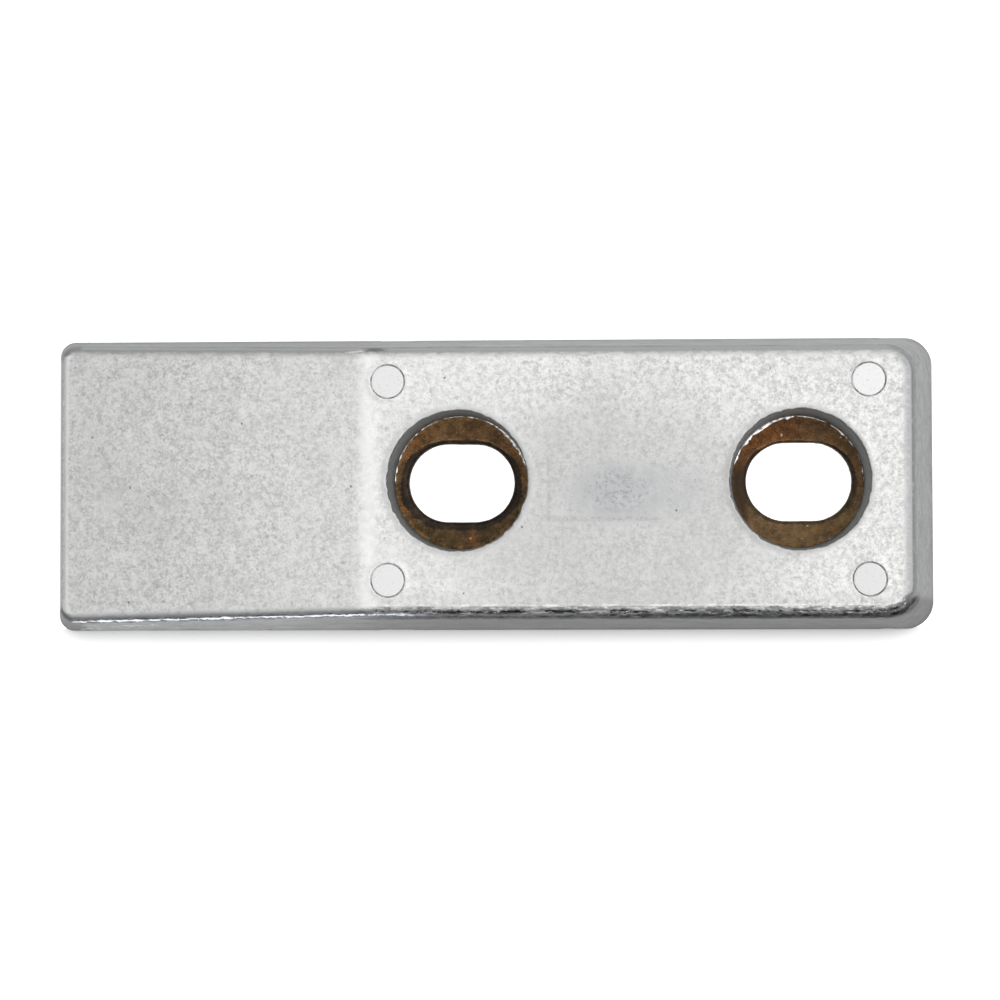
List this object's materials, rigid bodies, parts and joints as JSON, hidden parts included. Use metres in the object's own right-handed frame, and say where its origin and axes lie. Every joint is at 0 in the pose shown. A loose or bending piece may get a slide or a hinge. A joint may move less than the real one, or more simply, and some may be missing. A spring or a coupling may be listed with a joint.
{
  "type": "sacrificial anode",
  "caption": "Wedge-shaped cast sacrificial anode with a slotted steel strap cast in, bolted down through two tapered pockets.",
  "frame": {"origin": "centre of the mounting face, in the plane of that face", "axes": "+X along the block from the thin toe of the ramp to the tail, +Y across the block, +Z out of the mounting face towards the plateau"},
  "size_m": [0.158, 0.0524, 0.0173],
  "materials": {
    "anode_alloy": "matt as-cast anode alloy, mottled light grey, darker and pitted on the walls and worn edges",
    "rusty_steel": "plain steel strap under a thin brown rust"
  },
  "bodies": {
    "root": {"anode_casting": "anode_alloy", "steel_strap": "rusty_steel"}
  },
  "joints": []
}
